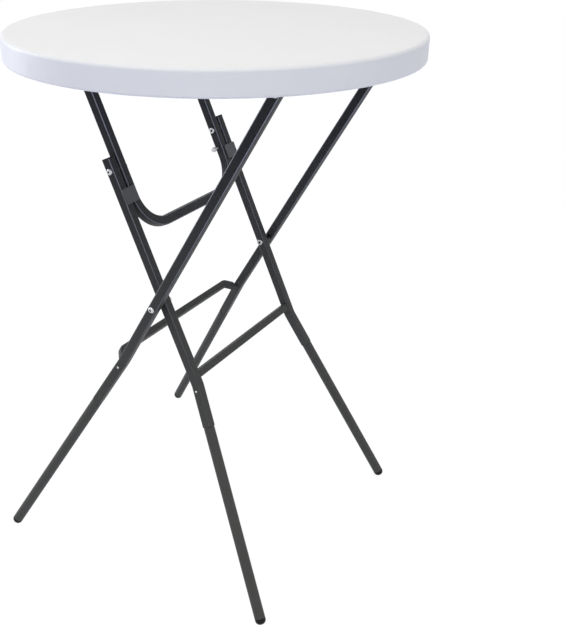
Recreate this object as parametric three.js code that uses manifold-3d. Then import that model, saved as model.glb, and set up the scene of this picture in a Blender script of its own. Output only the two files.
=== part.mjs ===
// Folding cocktail table at bar height: a round blow-moulded top on two crossed
// steel frames, held open by a locking bar whose knee lies straight in use. The
// frames are of square tube down to below their bends, and of round tube from there.
//
// Millimetres, +Z up. The origin is on the floor under the middle of the top.
// X runs across the spread of the feet, Y along the axles of the folding frames.
import * as THREE from 'three';
import { mergeVertices } from 'three/addons/utils/BufferGeometryUtils.js';
import Module from 'manifold-3d';

const wasm = await Module();
wasm.setup();

// The round top
const tableHeight = 1100;
const topDiameter = 800;
const rimDepth = 47;
const rimWidth = 24;
const panelThickness = 28;
const topSkin = 3.2;
const upperEdgeRadius = 7;
const lowerEdgeRadius = 4;
const recessFillet = 5;
const recessDraft = 3;
const ventRadius = 4;
const ventX = 70;

// Where the frames stand and hang, seen from the side: how far inside the top's edge.
// The inner legs leave their straight line at the bends, so they have an inset of each.
const hingeBelowRim = 3;
const outerFootInset = 61;
const innerFootInset = 98.5;
const innerLineInset = 116;
const barHingeInset = 199;
const saddleEdgeGap = 13.5;

// Half width of the outer frame to the middle of its tubes, the flares, and the gaps between frames
const outerHalfWidth = 228;
const outerFlare = 100;
const innerFlare = 104;
const scissorGap = 15;
const kneeGap = 5;

// Square tube with rounded corners
const tubeSide = 20;
const tubeCorner = 4.5;
const tubeWall = 1.5;
const legBendRadius = 45;
const barBendRadius = 70;
const outerFlareDrop = 163;
const innerFlareDrop = 182;
const innerTopReach = 24;
const hingeEndReach = 12;
const barReach = 130;

// Round lower legs, drawn in to a square spigot, and the spring buttons that hold them
const legJointHeight = 360;
const lowerLegRadius = 11;
const shoulderHoleRadius = 6;
const spigotAboveButton = 6.5;
const outerButtonDrop = 16;
const innerButtonDrop = 12;
const buttonRadius = 2.6;
const buttonHeight = 2.2;
const buttonFlangeRadius = 4.8;
const buttonFlangeThickness = 1.2;

// Cross bars
const innerCrossAboveBend = 19;
const outerCrossBelowBend = 10;
const crossBarSide = 16;
const crossBarCorner = 4;
const outerCrossOffset = 25;
const outerCrossEndRun = 19;
const outerCrossBendRadius = 12;
const outerCrossSlope = THREE.MathUtils.degToRad(45);

// Fits: the gap left between pieces that touch, and the running clearance of pins
const seatGap = 0.3;
const runningGap = 0.3;
const overrun = 2;

// Scissor pivots
const boltRadius = 4;
const boltHeadRadius = 6.5;
const boltHeadHeight = 4.2;
const nutRadius = 6.5;
const nutThickness = 4.6;
const bushRadius = 8;
const boltEndInset = 0.8;

// Knee pivots, in two halves: a bolt in the leg and a rivet in the locking bar
const kneeSlidingGap = 0.5;
const rivetHeadRadius = 6.5;
const rivetHeadHeight = 3.2;
const rivetBoreRadius = 2.2;
const rivetBoreDepth = 4;

// Stop plates on the locking bar
const stopPlateAboveRun = 60;
const stopPlateLength = 31;
const stopPlateThickness = 2.5;
const stopPlateInset = 6;
const stopPlateCorner = 3;

// Lock pin and its spring
const lockPinDrop = 40;
const lockPinRadius = 3;
const lockPinStandOff = 22;
const lockPinTravel = 6;
const lockKnobRadius = 5.5;
const lockKnobLength = 6;
const lockKnobGroove = 0.8;
const lockCollarRadius = 5;
const lockCollarThickness = 2;
const lockCollarInset = 3;
const lockSpringRadius = 4.8;
const lockTipChamfer = 1;
const lockHoleGap = 0.6;

// Axle rods, their clips and the saddle brackets that hold them under the top
const axleRadius = 5;
const clipRadius = 8;
const clipThickness = 2.3;
const axleEndStand = 0.2;
const saddleLength = 44;
const saddleWidth = 26;
const saddleMetal = 2.5;
const saddleEyeRadius = 8;
const saddleGap = 10;
const saddleCorner = 3;
const padMargin = 8;
const screwSpacing = 28;
const screwRadius = 2;
const screwLength = 14;
const screwTip = 2;
const screwHeadRadius = 4;
const screwHeadHeight = 2.6;
const screwHeadLand = 1;

// Plastic plugs in the tube ends
const footHeadLength = 13;
const footRounding = 9;
const footFlatDepth = 1.2;
const plugHeadThickness = 2;
const footStubLength = 18;
const openEndStubLength = 15;
const stubToAxleGap = 2;

// Facets
const rimFacets = 80;
const boreFacets = 16;
const turnedFacets = 16;
const smallFacets = 12;
const lowerLegFacets = 20;
const cornerSteps = 2;
const legBendSteps = 3;
const barBendSteps = 7;
const crossBendSteps = 3;
const edgeSteps = 3;
const footSteps = 6;

// Half widths of the other frames
const halfTube = tubeSide / 2;
const outerFootHalfWidth = outerHalfWidth + outerFlare;
const innerHalfWidth = outerHalfWidth - tubeSide - scissorGap;
const innerFootHalfWidth = innerHalfWidth + innerFlare;
const barHalfWidth = innerHalfWidth - tubeSide - kneeGap;

// Side faces of the three frames
const outerFace = outerHalfWidth + halfTube;
const outerInnerFace = outerHalfWidth - halfTube;
const innerFace = innerHalfWidth + halfTube;
const innerInnerFace = innerHalfWidth - halfTube;
const barFace = barHalfWidth + halfTube;
const barInnerFace = barHalfWidth - halfTube;

// The recess under the top, and its fillets
const topRadius = topDiameter / 2;
const panelUnderside = tableHeight - panelThickness;
const recessDepth = rimDepth - panelThickness;
const recessRadius = topRadius - rimWidth;
const recessFloorRadius = recessRadius - recessDraft;
const rimFootRadius = Math.min((rimWidth - lowerEdgeRadius) / 2, recessDepth / 2);
const recessFilletRadius = Math.min(recessFillet, recessDepth / 3);

// Hinges, feet, scissor pivot and knee, seen from the side
const hingeHeight = tableHeight - rimDepth - hingeBelowRim;
const saddleCornerReach = recessFloorRadius - recessFillet - saddleEdgeGap;
const outerSaddleFarSide = outerInnerFace - saddleGap;
const outerHingeX = Math.sqrt(saddleCornerReach ** 2 - outerSaddleFarSide ** 2) - saddleLength / 2;
const barHingeX = barHingeInset - topRadius;
const outerFootX = outerFootInset - topRadius;
const innerFootX = topRadius - innerFootInset;
const outerHinge = new THREE.Vector2(outerHingeX, hingeHeight);
const barHinge = new THREE.Vector2(barHingeX, hingeHeight);
const outerFoot = new THREE.Vector2(outerFootX, 0);
const innerFoot = new THREE.Vector2(innerFootX, 0);
const innerLineEnd = new THREE.Vector2(topRadius - innerLineInset, 0);
const scissor = crossing(outerFoot, outerHinge, innerLineEnd, barHinge);

const outerReach = scissor.distanceTo(outerHinge);
const hingeSpan = outerHinge.distanceTo(barHinge);
const straightReach = scissor.distanceTo(barHinge);
// The table folds flat when the knee stands this far above the scissor pivot.
const kneeReach = (straightReach + outerReach - hingeSpan) / 2;
const barLength = straightReach - kneeReach;
const outerUp = outerHinge.clone().sub(scissor).normalize();
const innerUp = barHinge.clone().sub(scissor).normalize();
const knee = scissor.clone().addScaledVector(innerUp, kneeReach);

// Cross bars and the stubs of the plugs above the axles
const innerCrossDrop = innerFlareDrop - innerCrossAboveBend;
const outerCrossDrop = outerFlareDrop + outerCrossBelowBend;
const outerCrossHalfRun = outerInnerFace - outerCrossEndRun;
const hingeEndStubLength = hingeEndReach - axleRadius - stubToAxleGap;

// The side of what slides into a tube
const spigotSide = tubeSide - 2 * tubeWall - 2 * seatGap;
const spigotCorner = tubeCorner - tubeWall;

// The way down a straight leg in its frame, and the turn that brings +Z there
const straightDown = new THREE.Vector3(0, -1, 0);
const zToDown = new THREE.Quaternion().setFromUnitVectors(new THREE.Vector3(0, 0, 1), straightDown);

const finish = {
  whitePlastic: () => new THREE.MeshStandardMaterial({ color: 0xf0f0ee, roughness: 0.42, metalness: 0 }),
  coatedSteel: () => new THREE.MeshStandardMaterial({ color: 0x3c3d3c, roughness: 0.5, metalness: 0.25 }),
  coatedPlate: () => new THREE.MeshStandardMaterial({ color: 0x484a4a, roughness: 0.55, metalness: 0.25 }),
  brightSteel: () => new THREE.MeshStandardMaterial({ color: 0xc4c6c9, roughness: 0.3, metalness: 0.9 }),
  blackPlastic: () => new THREE.MeshStandardMaterial({ color: 0x121212, roughness: 0.6, metalness: 0 }),
};

// Where the line through a and b meets the line through c and d
function crossing(a, b, c, d) {
  const ab = b.clone().sub(a);
  const cd = d.clone().sub(c);
  const t = c.clone().sub(a).cross(cd) / ab.cross(cd);
  return a.clone().addScaledVector(ab, t);
}

// A path of straight runs joined by round bends
class BentPath extends THREE.Curve {
  constructor(corners, bendRadius, bendSteps) {
    super();
    this.stations = [];
    const last = corners.length - 1;
    for (let i = 0; i <= last; i += 1) {
      const here = corners[i];
      const before = here.clone().sub(corners[Math.max(i - 1, 0)]).normalize();
      const after = corners[Math.min(i + 1, last)].clone().sub(here).normalize();
      if (i === 0 || i === last) {
        this.stations.push({ point: here.clone(), tangent: i === 0 ? after : before });
      } else {
        this.addBend(here, before, after, bendRadius, bendSteps);
      }
    }
  }

  addBend(corner, before, after, radius, steps) {
    const turn = before.angleTo(after);
    const axis = new THREE.Vector3().crossVectors(before, after).normalize();
    const inward = new THREE.Vector3().crossVectors(axis, before);
    const start = corner.clone().addScaledVector(before, -radius * Math.tan(turn / 2));
    for (let k = 0; k <= steps; k += 1) {
      const angle = (turn * k) / steps;
      const point = start.clone()
        .addScaledVector(before, radius * Math.sin(angle))
        .addScaledVector(inward, radius * (1 - Math.cos(angle)));
      this.stations.push({ point, tangent: before.clone().applyAxisAngle(axis, angle) });
    }
  }

  get steps() {
    return this.stations.length - 1;
  }

  getUtoTmapping(u) {
    return u;
  }

  getPoint(t, target = new THREE.Vector3()) {
    return target.copy(this.stations[Math.round(t * this.steps)].point);
  }

  getTangent(t, target = new THREE.Vector3()) {
    return target.copy(this.stations[Math.round(t * this.steps)].tangent);
  }
}

// A closed solid from a geometry, with its faces pointing out
function solidOf(geometry) {
  const bare = geometry.clone();
  bare.deleteAttribute('normal');
  bare.deleteAttribute('uv');
  const welded = mergeVertices(bare);
  const place = welded.attributes.position;
  const index = welded.index.array;
  const corner = [new THREE.Vector3(), new THREE.Vector3(), new THREE.Vector3()];
  const kept = [];
  let volume = 0;
  for (let i = 0; i < index.length; i += 3) {
    const [a, b, c] = [index[i], index[i + 1], index[i + 2]];
    if (a !== b && b !== c && c !== a) {
      kept.push(a, b, c);
      corner[0].fromBufferAttribute(place, a);
      corner[1].fromBufferAttribute(place, b);
      corner[2].fromBufferAttribute(place, c);
      volume += corner[0].dot(corner[1].cross(corner[2]));
    }
  }
  if (volume < 0) {
    kept.reverse();
  }
  return new wasm.Manifold(new wasm.Mesh({
    numProp: 3,
    vertProperties: Float32Array.from(place.array),
    triVerts: Uint32Array.from(kept),
  }));
}

function geometryOf(solid) {
  const mesh = solid.getMesh();
  const geometry = new THREE.BufferGeometry();
  geometry.setAttribute('position', new THREE.BufferAttribute(Float32Array.from(mesh.vertProperties), 3));
  geometry.setIndex(new THREE.BufferAttribute(Uint32Array.from(mesh.triVerts), 1));
  geometry.computeVertexNormals();
  return geometry;
}

function cutAway(geometry, cutters) {
  let solid = solidOf(geometry);
  for (const cutter of cutters) {
    solid = solid.subtract(solidOf(cutter));
  }
  return geometryOf(solid);
}

function joined(geometries) {
  let solid = solidOf(geometries[0]);
  for (const geometry of geometries.slice(1)) {
    solid = solid.add(solidOf(geometry));
  }
  return geometryOf(solid);
}

function addPiece(group, name, geometry, material) {
  const mesh = new THREE.Mesh(geometry, material);
  mesh.name = name;
  group.add(mesh);
  return mesh;
}

// Points of a quarter or other arc, for a turned profile
function arcPoints(centreX, centreY, radius, startAngle, endAngle, steps) {
  const points = [];
  for (let k = 0; k <= steps; k += 1) {
    const angle = startAngle + ((endAngle - startAngle) * k) / steps;
    points.push(new THREE.Vector2(
      centreX + radius * Math.cos(angle),
      centreY + radius * Math.sin(angle),
    ));
  }
  return points;
}

// A solid turned about Z from points of (radius, height)
function turned(points, facets) {
  const profile = points.map((point) => (Array.isArray(point) ? new THREE.Vector2(...point) : point));
  return new THREE.LatheGeometry(profile, facets).rotateX(Math.PI / 2);
}

// A flat ring about Z, from height 0 to its thickness
function ring(outerRadius, boreRadius, thickness, facets) {
  return turned([
    [boreRadius, 0],
    [outerRadius, 0],
    [outerRadius, thickness],
    [boreRadius, thickness],
    [boreRadius, 0],
  ], facets);
}

// A cutting cylinder along X, from one place to another
function boreAlongX(radius, from, to, y, z) {
  const cylinder = new THREE.CylinderGeometry(radius, radius, Math.abs(to - from), boreFacets);
  return cylinder.rotateZ(Math.PI / 2).translate((from + to) / 2, y, z);
}

function boreAlongZ(radius, from, to, x, y) {
  const cylinder = new THREE.CylinderGeometry(radius, radius, Math.abs(to - from), boreFacets);
  return cylinder.rotateX(Math.PI / 2).translate(x, y, (from + to) / 2);
}

function box(minimum, maximum) {
  const size = maximum.clone().sub(minimum);
  const centre = minimum.clone().add(maximum).multiplyScalar(0.5);
  return new THREE.BoxGeometry(size.x, size.y, size.z).translate(centre.x, centre.y, centre.z);
}

// Outline of a rectangle with round corners
function roundedRectangle(width, height, corner, Kind = THREE.Shape) {
  const x = width / 2 - corner;
  const y = height / 2 - corner;
  const outline = new Kind();
  outline.absarc(x, -y, corner, -Math.PI / 2, 0);
  outline.absarc(x, y, corner, 0, Math.PI / 2);
  outline.absarc(-x, y, corner, Math.PI / 2, Math.PI);
  outline.absarc(-x, -y, corner, Math.PI, 1.5 * Math.PI);
  outline.closePath();
  return outline;
}

// A square tube with an open bore, drawn along a path
function squareTube(path, side, corner) {
  const section = roundedRectangle(side, side, corner);
  const boreSide = side - 2 * tubeWall;
  section.holes.push(roundedRectangle(boreSide, boreSide, corner - tubeWall, THREE.Path));
  return new THREE.ExtrudeGeometry(section, {
    steps: path.steps,
    curveSegments: cornerSteps,
    bevelEnabled: false,
    extrudePath: path,
  });
}

// A group that lies in the plane of a frame: X along the axles, Y up the legs, Z square to both
function frameGroup(origin, up) {
  const group = new THREE.Group();
  const basis = new THREE.Matrix4().makeBasis(
    new THREE.Vector3(0, 1, 0),
    new THREE.Vector3(up.x, 0, up.y),
    new THREE.Vector3(up.y, 0, -up.x),
  );
  group.quaternion.setFromRotationMatrix(basis);
  group.position.set(origin.x, 0, origin.y);
  group.updateMatrixWorld(true);
  return group;
}

const sides = [
  { name: 'front', sign: -1 },
  { name: 'back', sign: 1 },
];

// Turns a piece made about Z so that its +Z points outward along X on the given side
function faceOutward(mesh, sign, x, y) {
  mesh.rotation.y = (sign * Math.PI) / 2;
  mesh.position.set(sign * x, y, 0);
}

// The top: hollow, with a recessed underside and solid pads where the brackets screw on
function topShell() {
  const rimBottom = tableHeight - rimDepth;
  const foot = rimFootRadius;
  const fillet = recessFilletRadius;
  const outer = turned([
    new THREE.Vector2(0, tableHeight),
    ...arcPoints(topRadius - upperEdgeRadius, tableHeight - upperEdgeRadius, upperEdgeRadius,
      Math.PI / 2, 0, edgeSteps),
    ...arcPoints(topRadius - lowerEdgeRadius, rimBottom + lowerEdgeRadius, lowerEdgeRadius,
      0, -Math.PI / 2, edgeSteps),
    ...arcPoints(recessRadius + foot, rimBottom + foot, foot, -Math.PI / 2, -Math.PI, edgeSteps),
    ...arcPoints(recessFloorRadius - fillet, panelUnderside - fillet, fillet, 0, Math.PI / 2, edgeSteps),
    new THREE.Vector2(0, panelUnderside),
  ], rimFacets);
  const cavity = turned([
    [0, tableHeight - topSkin],
    [topRadius - upperEdgeRadius, tableHeight - topSkin],
    [topRadius - topSkin, tableHeight - upperEdgeRadius],
    [topRadius - topSkin, rimBottom + lowerEdgeRadius],
    [topRadius - lowerEdgeRadius, rimBottom + topSkin],
    [recessRadius + foot, rimBottom + topSkin],
    [recessRadius + topSkin, rimBottom + foot],
    [recessFloorRadius + topSkin, panelUnderside],
    [recessFloorRadius - fillet, panelUnderside + topSkin],
    [0, panelUnderside + topSkin],
  ], rimFacets);
  const padLength = saddleLength + 2 * padMargin;
  const padWidth = saddleWidth + 2 * padMargin;
  const pads = saddlePlaces().map(({ x, y }) => box(
    new THREE.Vector3(x - padLength / 2, y - padWidth / 2, panelUnderside),
    new THREE.Vector3(x + padLength / 2, y + padWidth / 2, tableHeight),
  ));
  const pilots = screwPlaces().map(({ x, y }) => boreAlongZ(
    screwRadius + runningGap,
    panelUnderside - overrun,
    panelUnderside + screwLength - saddleMetal + overrun,
    x,
    y,
  ));
  const ventEnd = panelUnderside + topSkin + overrun;
  const vent = boreAlongZ(ventRadius, panelUnderside - overrun, ventEnd, ventX, 0);
  return cutAway(outer, [cutAway(cavity, pads), ...pilots, vent]);
}

// Middles of the four brackets, just inside the tubes that hang beside them
function saddlePlaces() {
  const inset = saddleGap + saddleWidth / 2;
  return sides.flatMap(({ name, sign }) => [
    { name: `outer_hinge_bracket_${name}`, x: outerHingeX, y: sign * (outerInnerFace - inset) },
    { name: `bar_hinge_bracket_${name}`, x: barHingeX, y: sign * (barInnerFace - inset) },
  ]);
}

function screwPlaces() {
  return saddlePlaces().flatMap(({ name, x, y }) => [-1, 1].map((end, k) => ({
    name: `${name.replace('bracket', 'screw')}_${k + 1}`,
    x: x + (end * screwSpacing) / 2,
    y,
  })));
}

// Saddle bracket about its axle: a screwed base with two ears that hold the rod
function saddleBracket() {
  const baseTop = panelUnderside - hingeHeight - seatGap;
  const baseBottom = baseTop - saddleMetal;
  const base = box(
    new THREE.Vector3(-saddleLength / 2, -saddleWidth / 2, baseBottom),
    new THREE.Vector3(saddleLength / 2, saddleWidth / 2, baseTop),
  );
  const ear = new THREE.Shape();
  ear.moveTo(saddleLength / 2, baseTop);
  ear.lineTo(-saddleLength / 2, baseTop);
  ear.lineTo(-saddleLength / 2, baseBottom - saddleCorner);
  ear.lineTo(-saddleEyeRadius, 0);
  ear.absarc(0, 0, saddleEyeRadius, Math.PI, 2 * Math.PI);
  ear.lineTo(saddleLength / 2, baseBottom - saddleCorner);
  ear.closePath();
  const ears = [-saddleWidth / 2 + saddleMetal, saddleWidth / 2].map((y) => (
    new THREE.ExtrudeGeometry(ear, { depth: saddleMetal, bevelEnabled: false, curveSegments: edgeSteps })
      .rotateX(Math.PI / 2)
      .translate(0, y, 0)
  ));
  const axleBore = new THREE.CylinderGeometry(
    axleRadius + runningGap,
    axleRadius + runningGap,
    saddleWidth + 2 * overrun,
    boreFacets,
  );
  const screwBores = [-1, 1].map((end) => boreAlongZ(
    screwRadius + runningGap,
    baseBottom - overrun,
    baseTop + overrun,
    (end * screwSpacing) / 2,
    0,
  ));
  return cutAway(joined([base, ...ears]), [axleBore, ...screwBores]);
}

// Pan-head screw, head down, with the underside of its head at height 0
function saddleScrew() {
  return turned([
    [0, -screwHeadHeight],
    [screwHeadRadius - screwHeadLand, -screwHeadHeight],
    [screwHeadRadius, -screwHeadLand],
    [screwHeadRadius, 0],
    [screwRadius, 0],
    [screwRadius, screwLength - screwTip],
    [0, screwLength],
  ], smallFacets);
}

// Steel rod along Y through the tube ends, with the clips that keep it there
function addAxle(group, name, x, tubeFace) {
  const rodEnd = tubeFace + seatGap + clipThickness + axleEndStand;
  const rod = new THREE.CylinderGeometry(axleRadius, axleRadius, 2 * rodEnd, turnedFacets);
  addPiece(group, `${name}_axle`, rod, finish.brightSteel()).position.set(x, 0, hingeHeight);
  for (const { name: side, sign } of sides) {
    const clip = addPiece(
      group,
      `${name}_axle_clip_${side}`,
      ring(clipRadius, axleRadius + runningGap, clipThickness, turnedFacets),
      finish.brightSteel(),
    );
    clip.rotation.x = (-sign * Math.PI) / 2;
    clip.position.set(x, sign * (tubeFace + seatGap), hingeHeight);
  }
}

// How far the lowest point of a domed foot lies below the middle of its end face
function footSink(fall) {
  const flat = lowerLegRadius - footRounding;
  return flat * Math.sqrt(1 - fall ** 2) + footRounding * (1 - fall);
}

// The flared part of a leg in its frame: the bend, the way down, how far down the upper
// tube and the lower one reach, and where the button sits
function flareOf(origin, up, foot, halfWidth, footHalfWidth, flareDrop, buttonDrop) {
  const bend = new THREE.Vector3(halfWidth, -flareDrop, 0);
  const toFoot = foot.clone().sub(origin);
  const down = new THREE.Vector3(footHalfWidth, toFoot.dot(up), toFoot.cross(up)).sub(bend).normalize();
  const fall = down.z * up.x - down.y * up.y;
  const bendHeight = origin.y - flareDrop * up.y;
  const joint = (bendHeight - legJointHeight) / fall;
  const plugEnd = (bendHeight - footSink(fall) + footFlatDepth) / fall;
  return { bend, down, joint, tubeEnd: plugEnd - footHeadLength, buttonDrop };
}

// A place on the axis of the flared leg on one side, at a distance below its bend
function onFlare(flare, sign, along) {
  const place = flare.bend.clone().addScaledVector(flare.down, along);
  return new THREE.Vector3(sign * place.x, place.y, place.z);
}

// The turn from a straight leg to the flared one on one side
function flareTurn(flare, sign) {
  const down = new THREE.Vector3(sign * flare.down.x, flare.down.y, flare.down.z);
  return new THREE.Quaternion().setFromUnitVectors(straightDown, down);
}

// A place on the outward (1) or inward (-1) face of a flared leg, and the way that face looks
function flarePlace(flare, sign, along, outward) {
  const way = new THREE.Vector3(sign * outward, 0, 0).applyQuaternion(flareTurn(flare, sign));
  return { at: onFlare(flare, sign, along).addScaledVector(way, halfTube), way };
}

// Sets a piece made about Z on a flared leg, with its +Z down the leg and its sides along the tube's
function setOnFlare(mesh, flare, sign, along) {
  mesh.quaternion.copy(flareTurn(flare, sign)).multiply(zToDown);
  mesh.position.copy(onFlare(flare, sign, along));
}

// The upper tube of one leg: straight from its upper end to the bend, then flared outward
function legTube(sign, topReach, flare) {
  const corners = [
    new THREE.Vector3(sign * flare.bend.x, topReach, 0),
    onFlare(flare, sign, 0),
    onFlare(flare, sign, flare.joint),
  ];
  return squareTube(new BentPath(corners, legBendRadius, legBendSteps), tubeSide, tubeCorner);
}

// A hole across both walls of a tube that runs up at the given half width
function acrossTube(radius, sign, halfWidth, y) {
  const reach = halfTube + overrun;
  return boreAlongX(radius, sign * halfWidth - reach, sign * halfWidth + reach, y, 0);
}

// Plug for a tube end: a head as wide as the tube along +Z, and a stub inside it along -Z
function endPlug(headLength, stubLength, rounding) {
  const stub = new THREE.ExtrudeGeometry(
    roundedRectangle(spigotSide, spigotSide, spigotCorner),
    { depth: stubLength + seatGap + headLength / 2, bevelEnabled: false, curveSegments: cornerSteps },
  ).translate(0, 0, -stubLength);
  const inner = tubeSide - 2 * rounding;
  const head = new THREE.ExtrudeGeometry(
    roundedRectangle(inner, inner, Math.max(tubeCorner - rounding, seatGap)),
    {
      depth: headLength - seatGap - 2 * rounding,
      bevelThickness: rounding,
      bevelSize: rounding,
      bevelSegments: cornerSteps + 1,
      curveSegments: cornerSteps,
    },
  ).translate(0, 0, seatGap + rounding);
  return joined([stub, head]);
}

// A plug in the upper end of a tube that runs straight up its frame
function addTopPlug(group, name, stubLength, x, topReach) {
  const shape = endPlug(plugHeadThickness, stubLength, plugHeadThickness / 4);
  const plug = addPiece(group, name, shape, finish.blackPlastic());
  plug.rotation.x = -Math.PI / 2;
  plug.position.set(x, topReach, 0);
}

// Lower leg about Z: a round tube down +Z, drawn in to a square spigot that stands up in the upper one
function lowerLeg(tubeLength, buttonReach, sign) {
  const innerRadius = lowerLegRadius - tubeWall;
  const round = turned([
    [shoulderHoleRadius, seatGap],
    [lowerLegRadius, seatGap],
    [lowerLegRadius, tubeLength],
    [innerRadius, tubeLength],
    [innerRadius, seatGap + tubeWall],
    [shoulderHoleRadius, seatGap + tubeWall],
    [shoulderHoleRadius, seatGap],
  ], lowerLegFacets);
  const spigotLength = buttonReach + spigotAboveButton;
  const section = roundedRectangle(spigotSide, spigotSide, spigotCorner);
  const boreSide = spigotSide - 2 * tubeWall;
  section.holes.push(roundedRectangle(boreSide, boreSide, spigotCorner - tubeWall, THREE.Path));
  const spigot = new THREE.ExtrudeGeometry(section, {
    depth: spigotLength + seatGap + tubeWall / 2,
    bevelEnabled: false,
    curveSegments: cornerSteps,
  }).translate(0, 0, -spigotLength);
  const wallInside = spigotSide / 2 - tubeWall - overrun;
  const wallOutside = spigotSide / 2 + overrun;
  const hole = boreAlongX(buttonRadius + runningGap, sign * wallInside, sign * wallOutside, 0, -buttonReach);
  return cutAway(joined([round, spigot]), [hole]);
}

// Domed foot plug about Z: a head as wide as the lower leg along +Z, and a stub inside it along -Z
function footPlug() {
  const stubRadius = lowerLegRadius - tubeWall - seatGap;
  const flat = lowerLegRadius - footRounding;
  return turned([
    new THREE.Vector2(0, -footStubLength),
    new THREE.Vector2(stubRadius, -footStubLength),
    new THREE.Vector2(stubRadius, seatGap),
    new THREE.Vector2(lowerLegRadius, seatGap),
    ...arcPoints(flat, footHeadLength - footRounding, footRounding, 0, Math.PI / 2, footSteps),
    new THREE.Vector2(0, footHeadLength),
  ], lowerLegFacets);
}

// Spring button about Z: its flange bears on the spigot's wall from inside, its dome stands out of the leg
function springButton() {
  const flangeTop = -2 * (tubeWall + seatGap);
  return turned([
    new THREE.Vector2(0, flangeTop - buttonFlangeThickness),
    new THREE.Vector2(buttonFlangeRadius, flangeTop - buttonFlangeThickness),
    new THREE.Vector2(buttonFlangeRadius, flangeTop),
    new THREE.Vector2(buttonRadius, flangeTop),
    ...arcPoints(0, buttonHeight - buttonRadius, buttonRadius, 0, Math.PI / 2, edgeSteps),
  ], smallFacets);
}

// The lower leg on one side, its button, and its foot plug, cut flat where it stands on the floor
function addLowerLeg(group, kind, name, sign, flare) {
  const shape = lowerLeg(flare.tubeEnd - flare.joint, flare.joint - flare.buttonDrop, sign);
  const leg = addPiece(group, `${kind}_lower_leg_${name}`, shape, finish.coatedSteel());
  setOnFlare(leg, flare, sign, flare.joint);

  const button = addPiece(group, `${kind}_leg_button_${name}`, springButton(), finish.brightSteel());
  const { at, way } = flarePlace(flare, sign, flare.buttonDrop, 1);
  button.quaternion.setFromUnitVectors(new THREE.Vector3(0, 0, 1), way);
  button.position.copy(at);

  const foot = addPiece(group, `${kind}_foot_${name}`, footPlug(), finish.blackPlastic());
  setOnFlare(foot, flare, sign, flare.tubeEnd);
  group.updateMatrixWorld(true);
  const standing = foot.geometry.applyMatrix4(foot.matrixWorld);
  const reach = topDiameter;
  const belowFloor = box(new THREE.Vector3(-reach, -reach, -reach), new THREE.Vector3(reach, reach, 0));
  foot.geometry = cutAway(standing, [belowFloor]).applyMatrix4(foot.matrixWorld.clone().invert());
}

// Dome-headed rivet or bolt about Z, with its shank below height 0
function domeHeaded(headRadius, headHeight, shankRadius, shankLength, facets) {
  const domeRadius = (headRadius ** 2 + headHeight ** 2) / (2 * headHeight);
  const edgeAngle = Math.asin((domeRadius - headHeight) / domeRadius);
  return turned([
    new THREE.Vector2(0, -shankLength),
    new THREE.Vector2(shankRadius, -shankLength),
    new THREE.Vector2(shankRadius, 0),
    ...arcPoints(0, headHeight - domeRadius, domeRadius, edgeAngle, Math.PI / 2, edgeSteps),
  ], facets);
}

// A cutting cylinder into one wall of a flared leg
function wallBore(radius, { at, way }) {
  const reach = tubeWall + overrun;
  const cylinder = new THREE.CylinderGeometry(radius, radius, 2 * reach, boreFacets);
  const turn = new THREE.Quaternion().setFromUnitVectors(new THREE.Vector3(0, 1, 0), way);
  return cylinder.applyQuaternion(turn).translate(at.x, at.y, at.z);
}

function makeTop() {
  const group = new THREE.Group();
  addPiece(group, 'table_top', topShell(), finish.whitePlastic());
  for (const { name, x, y } of saddlePlaces()) {
    addPiece(group, name, saddleBracket(), finish.coatedSteel()).position.set(x, y, hingeHeight);
  }
  const headSeat = panelUnderside - 2 * seatGap - saddleMetal;
  for (const { name, x, y } of screwPlaces()) {
    addPiece(group, name, saddleScrew(), finish.brightSteel()).position.set(x, y, headSeat);
  }
  addAxle(group, 'outer_hinge', outerHingeX, outerFace);
  addAxle(group, 'bar_hinge', barHingeX, barFace);
  return group;
}

// The bar between the outer legs: it runs clear of the inner frame, with its ends bent back
function outerCrossBar(flare) {
  const endReach = outerFootHalfWidth;
  const endOffset = -outerCrossOffset + (endReach - outerCrossHalfRun) * Math.tan(outerCrossSlope);
  const path = new BentPath(
    [
      new THREE.Vector3(-endReach, endOffset, 0),
      new THREE.Vector3(-outerCrossHalfRun, -outerCrossOffset, 0),
      new THREE.Vector3(outerCrossHalfRun, -outerCrossOffset, 0),
      new THREE.Vector3(endReach, endOffset, 0),
    ],
    outerCrossBendRadius,
    crossBendSteps,
  );
  const bar = squareTube(path, crossBarSide, crossBarCorner)
    .rotateX(Math.PI / 2)
    .translate(0, -outerCrossDrop, 0);
  const cutters = sides.map(({ sign }) => {
    const { at, way } = flarePlace(flare, sign, outerCrossBelowBend / -flare.down.y, -1);
    const reach = topDiameter;
    const cutter = box(new THREE.Vector3(-reach, -reach, -reach), new THREE.Vector3(reach, 0, reach));
    const turn = new THREE.Quaternion().setFromUnitVectors(new THREE.Vector3(0, 1, 0), way);
    const face = at.addScaledVector(way, seatGap);
    return cutter.applyQuaternion(turn).translate(face.x, face.y, face.z);
  });
  return cutAway(bar, cutters);
}

function makeOuterFrame() {
  const group = frameGroup(scissor, outerUp);
  const flare = flareOf(
    scissor,
    outerUp,
    outerFoot,
    outerHalfWidth,
    outerFootHalfWidth,
    outerFlareDrop,
    outerButtonDrop,
  );
  const topReach = outerReach + hingeEndReach;
  for (const { name, sign } of sides) {
    const leg = cutAway(legTube(sign, topReach, flare), [
      acrossTube(boltRadius + runningGap, sign, outerHalfWidth, 0),
      acrossTube(axleRadius + runningGap, sign, outerHalfWidth, outerReach),
      wallBore(buttonRadius + runningGap, flarePlace(flare, sign, outerButtonDrop, 1)),
    ]);
    addPiece(group, `outer_leg_${name}`, leg, finish.coatedSteel());
    addLowerLeg(group, 'outer', name, sign, flare);
    addTopPlug(group, `outer_top_plug_${name}`, hingeEndStubLength, sign * outerHalfWidth, topReach);
    addScissorPivot(group, name, sign);
  }
  addPiece(group, 'outer_cross_bar', outerCrossBar(flare), finish.coatedSteel());
  return group;
}

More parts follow.
